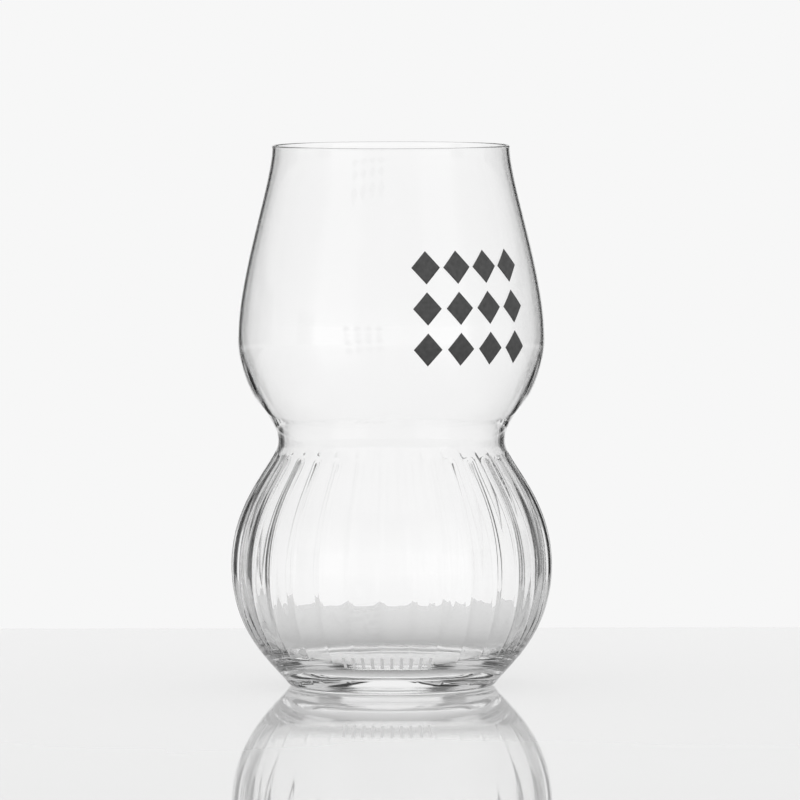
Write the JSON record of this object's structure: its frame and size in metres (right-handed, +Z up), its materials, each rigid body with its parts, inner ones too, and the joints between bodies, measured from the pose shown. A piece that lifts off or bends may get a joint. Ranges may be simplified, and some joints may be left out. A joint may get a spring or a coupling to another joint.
{
  "type": "ipa glass",
  "caption": "Stemless double-bulb beer glass: plain thin-walled bowl over a waist and a fluted lower bulb on a heavy base, with a printed lozenge panel on the bowl.",
  "frame": {"origin": "middle of the foot, on the table", "axes": "+Z up along the axis of the glass, front towards -Y, printed panel on the right of the front (+X side)"},
  "size_m": [0.0808, 0.0808, 0.136],
  "materials": {
    "clear_glass": "clear fire-polished soda-lime glass",
    "dark_ink": "matt screen-printed dark grey ink",
    "pale_mark": "pale frosted marking"
  },
  "bodies": {
    "root": {"glass_body": "clear_glass", "print_row1_lozenge1": "dark_ink", "print_row1_lozenge2": "dark_ink", "print_row1_lozenge3": "dark_ink", "print_row1_lozenge4": "dark_ink", "print_row2_lozenge1": "dark_ink", "print_row2_lozenge2": "dark_ink", "print_row2_lozenge3": "dark_ink", "print_row2_lozenge4": "dark_ink", "print_row3_lozenge1": "dark_ink", "print_row3_lozenge2": "dark_ink", "print_row3_lozenge3": "dark_ink", "print_row3_lozenge4": "dark_ink", "capacity_tick_1": "pale_mark", "capacity_tick_2": "pale_mark", "capacity_tick_3": "pale_mark", "capacity_tick_4": "pale_mark", "capacity_tick_5": "pale_mark", "capacity_tick_6": "pale_mark", "capacity_tick_7": "pale_mark", "capacity_tick_8": "pale_mark", "capacity_tick_9": "pale_mark", "capacity_tick_10": "pale_mark"}
  },
  "joints": []
}
